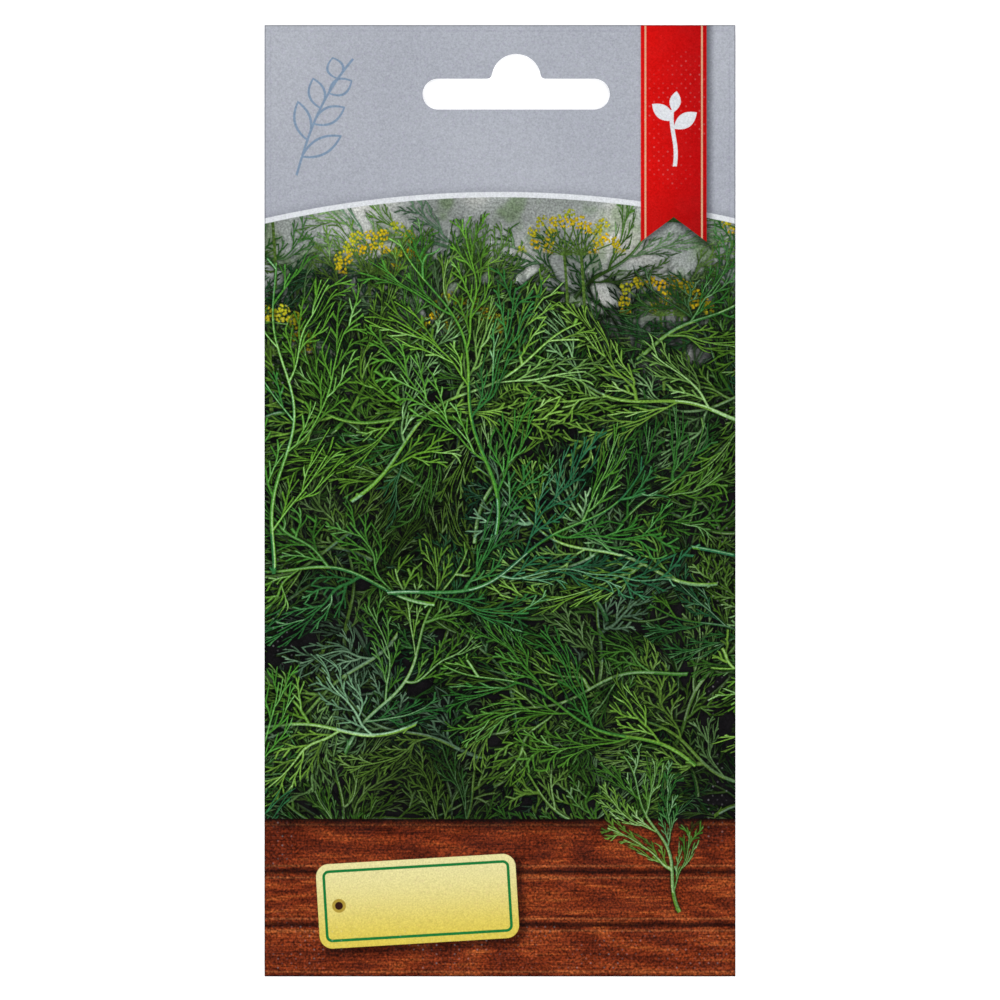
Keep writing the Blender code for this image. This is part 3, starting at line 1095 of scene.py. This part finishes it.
def paint_web(thing, outer, header, inner, edge, outer_is_up):
    """Gives each face of a web its material: the print outside, foil inside and the cut edge between.

    The header's print is a material of its own, because the picture's is slow to compute.
    """
    mesh = thing.data
    header_from = PICTURE_SIDE_TOP + PICTURE_ARCH + 3
    mesh.materials.clear()
    for material in (outer, header, inner, edge):
        mesh.materials.append(material)
    for face in mesh.polygons:
        up = face.normal.z
        if abs(up) < 0.5:
            face.material_index = 3
        elif (up > 0) != outer_is_up:
            face.material_index = 2
        else:
            face.material_index = 1 if face.center.y / MM > header_from else 0
    mesh.shade_smooth()
    mesh.set_sharp_from_angle(angle=math.radians(45))


def make_webs():
    fronds = frond_group()
    umbels = umbel_group()
    inner = inner_material()
    edge = edge_material()
    front = sheet_mesh("front_web", front_under, front_over)
    back = sheet_mesh("back_web", back_under, back_over)
    cutter = slot_cutter()
    for thing in (front, back):
        punch(thing, cutter)
    bpy.data.objects.remove(cutter, do_unlink=True)
    picture = picture_material("front_print", fronds, umbels)
    header = picture_material("header_print")
    paint_web(front, picture, header, inner, edge, True)
    panel = back_material()
    paint_web(back, panel, panel, inner, edge, False)
    for thing, node, slot in ((front, "front_film", "front_print"), (back, "back_film", "back_print")):
        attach(thing, "root")
        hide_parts(node)


# The seeds

SEED_LENGTH = 4.2
SEED_WIDTH = 2.2
SEED_THICKNESS = 0.8
SEED_ROWS = 9
SEED_RIBS = 5
SIDES_PER_RIB = 4
SEED_SIDES = SEED_RIBS * SIDES_PER_RIB
RIB_RISE = 0.09
SEED_PITCH = 3.3
SEED_STRAY = 0.5
SEED_LIFT = 0.5  # of the upper layer over the lower
SEED_CLEARANCE = 0.1  # over the frame's heap's underside
LAYER_REACHES = (1.0, 0.72)  # of the lower and the upper layer, as shares of the heap's oval
HEAP_ROWS = 12
HEAP_COLUMNS = 9
RANDOM_SEED = 11


def seed_points():
    """One seed's points: flat, oval, ribbed along its length, about its middle."""
    points = []
    for row in range(1, SEED_ROWS):
        share = row / SEED_ROWS
        along = -math.cos(math.pi * share)
        girth = math.sin(math.pi * share) ** 0.8
        for side in range(SEED_SIDES):
            turn = math.tau * side / SEED_SIDES
            rib = 1 + RIB_RISE * math.cos(SEED_RIBS * turn)
            across = SEED_WIDTH / 2 * girth * math.cos(turn) * rib
            height = SEED_THICKNESS / 2 * girth * math.sin(turn) * rib
            points.append((along * SEED_LENGTH / 2, across, height))
    points.append((-SEED_LENGTH / 2, 0, 0))
    points.append((SEED_LENGTH / 2, 0, 0))
    return points


def seed_faces():
    faces = []
    for row in range(SEED_ROWS - 2):
        for side in range(SEED_SIDES):
            here = row * SEED_SIDES + side
            beside = row * SEED_SIDES + (side + 1) % SEED_SIDES
            faces.append((here, here + SEED_SIDES, beside + SEED_SIDES, beside))
    last = (SEED_ROWS - 2) * SEED_SIDES
    tail = (SEED_ROWS - 1) * SEED_SIDES
    for side in range(SEED_SIDES):
        beside = (side + 1) % SEED_SIDES
        faces.append((side, beside, tail))
        faces.append((last + beside, last + side, tail + 1))
    return faces


def seed_spots(half_x, half_y, draw):
    """Where seeds lie within an oval, as (x, y, layer): loose rows, in two offset layers."""
    spots = []
    for layer, reach in enumerate(LAYER_REACHES):
        for row in range(-HEAP_ROWS, HEAP_ROWS + 1):
            for column in range(-HEAP_COLUMNS, HEAP_COLUMNS + 1):
                stray_x = draw.uniform(-SEED_STRAY, SEED_STRAY)
                stray_y = draw.uniform(-SEED_STRAY, SEED_STRAY)
                x = (column + 0.5 * (row % 2) + 0.4 * layer) * SEED_PITCH + stray_x
                y = (row + 0.5 * layer) * SEED_PITCH * 0.86 + stray_y
                if math.hypot(x / half_x, y / half_y) < reach:
                    spots.append((x, y, layer))
    return spots


def make_seeds():
    """Seeds one and two deep over the frame's heap, each turned and tipped at random."""
    low, high = (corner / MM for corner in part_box("seeds"))
    middle = (low + high) / 2
    shape = np.array(seed_points())
    pattern = seed_faces()
    draw = random.Random(RANDOM_SEED)
    points = []
    faces = []
    reach = SEED_LENGTH / 2 + 0.5
    for x, y, layer in seed_spots((high.x - low.x) / 2 - reach, (high.y - low.y) / 2 - reach, draw):
        z = low.z + SEED_THICKNESS / 2 + SEED_CLEARANCE + layer * SEED_LIFT + draw.uniform(0, 0.08)
        turned = Matrix.Rotation(draw.uniform(0, math.tau), 3, "Z")
        tipped = Matrix.Rotation(math.radians(draw.uniform(-5, 5)), 3, "X")
        spin = np.array(turned @ tipped)
        start = len(points)
        points.extend((shape @ spin.T + np.array((middle.x + x, middle.y + y, z))) * MM)
        faces.extend(tuple(corner + start for corner in face) for face in pattern)
    mesh = bpy.data.meshes.new("dill_seeds")
    mesh.from_pydata(points, [], faces)
    for material in (seed_material("dill_seed", 1.0), seed_material("dill_seed_rib", 1.7)):
        mesh.materials.append(material)
    ribs = [1 if side % SIDES_PER_RIB in (0, SIDES_PER_RIB - 1) else 0 for side in range(SEED_SIDES)]
    quads = ribs * (SEED_ROWS - 2)
    tips = [rib for rib in ribs for end in range(2)]
    mesh.polygons.foreach_set("material_index", (quads + tips) * (len(faces) // len(pattern)))
    mesh.shade_smooth()
    thing = add_object("dill_seeds", mesh)
    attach(thing, "root")
    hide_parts("seeds")


# The stage

FLOOR_HALF = 2.0  # metres
FLOOR_DROP = 0.2  # millimetres under the packet
FLOOR_GLOW = 0.35  # a lit table, so that the packet casts next to no shadow
WORLD_STRENGTH = 0.52
LAMP_TURNS = (20, 110, 200, 290)  # degrees round the packet
LAMP_POWER = 6.4
LAMP_SIZE = 0.7
LAMP_DISTANCE = 0.95
LAMP_HEIGHT = 0.85


def make_floor():
    mesh = bpy.data.meshes.new("floor")
    drop = -FLOOR_DROP * MM
    corners = [(-1, -1), (1, -1), (1, 1), (-1, 1)]
    mesh.from_pydata([(x * FLOOR_HALF, y * FLOOR_HALF, drop) for x, y in corners], [], [(0, 1, 2, 3)])
    floor = add_object("floor", mesh)
    material, _, surface = new_material("floor")
    surface["Base Color"].default_value = (0.93, 0.93, 0.93, 1.0)
    surface["Roughness"].default_value = 0.9
    surface["Emission Color"].default_value = (1.0, 1.0, 1.0, 1.0)
    surface["Emission Strength"].default_value = FLOOR_GLOW
    mesh.materials.append(material)


def make_world():
    """A pale studio: dim overhead, where the film would mirror it, and bright near the horizon."""
    world = bpy.data.worlds.new("studio")
    bpy.context.scene.world = world
    world.use_nodes = True
    pen = Pen(world.node_tree)
    coordinates = pen.node("TexCoord")
    _, _, up = pen.split(Term(pen, coordinates.outputs["Generated"]))
    background = world.node_tree.nodes["Background"]
    shade = pen.smooth(up, 0.95, 0.35)
    pen.feed(background.inputs["Color"], pen.mix(shade, (0.1, 0.1, 0.105), (1.0, 1.0, 1.0)))
    background.inputs["Strength"].default_value = WORLD_STRENGTH


def make_lamps():
    """Four square soft boxes round the packet, too low for the film to mirror them up to the camera."""
    for number, turn in enumerate(LAMP_TURNS):
        light = bpy.data.lights.new(f"softbox_{number}", "AREA")
        light.shape = "SQUARE"
        light.size = LAMP_SIZE
        light.energy = LAMP_POWER
        lamp = add_object(light.name, light)
        angle = math.radians(turn)
        lamp.location = (LAMP_DISTANCE * math.cos(angle), LAMP_DISTANCE * math.sin(angle), LAMP_HEIGHT)
        lamp.rotation_euler = (-Vector(lamp.location)).to_track_quat("-Z", "Y").to_euler()


def make_camera():
    """Straight over the packet, framed as the photograph is."""
    lens = bpy.data.cameras.new("camera")
    camera = add_object("camera", lens)
    lens.sensor_width = SENSOR
    field = FRAME_PIXELS / PIXELS_PER_MM * MM
    surface = (SEAM_HEIGHT + LAMINATE) * MM
    lens.lens = SENSOR * (CAMERA_HEIGHT - surface) / field
    camera.location = (0, PACKET_MIDDLE_BELOW_FRAME_MIDDLE / PIXELS_PER_MM * MM, CAMERA_HEIGHT)
    bpy.context.scene.camera = camera


bpy.context.scene.view_settings.view_transform = "Standard"
make_camera()
make_webs()
make_seeds()
make_floor()
make_world()
make_lamps()
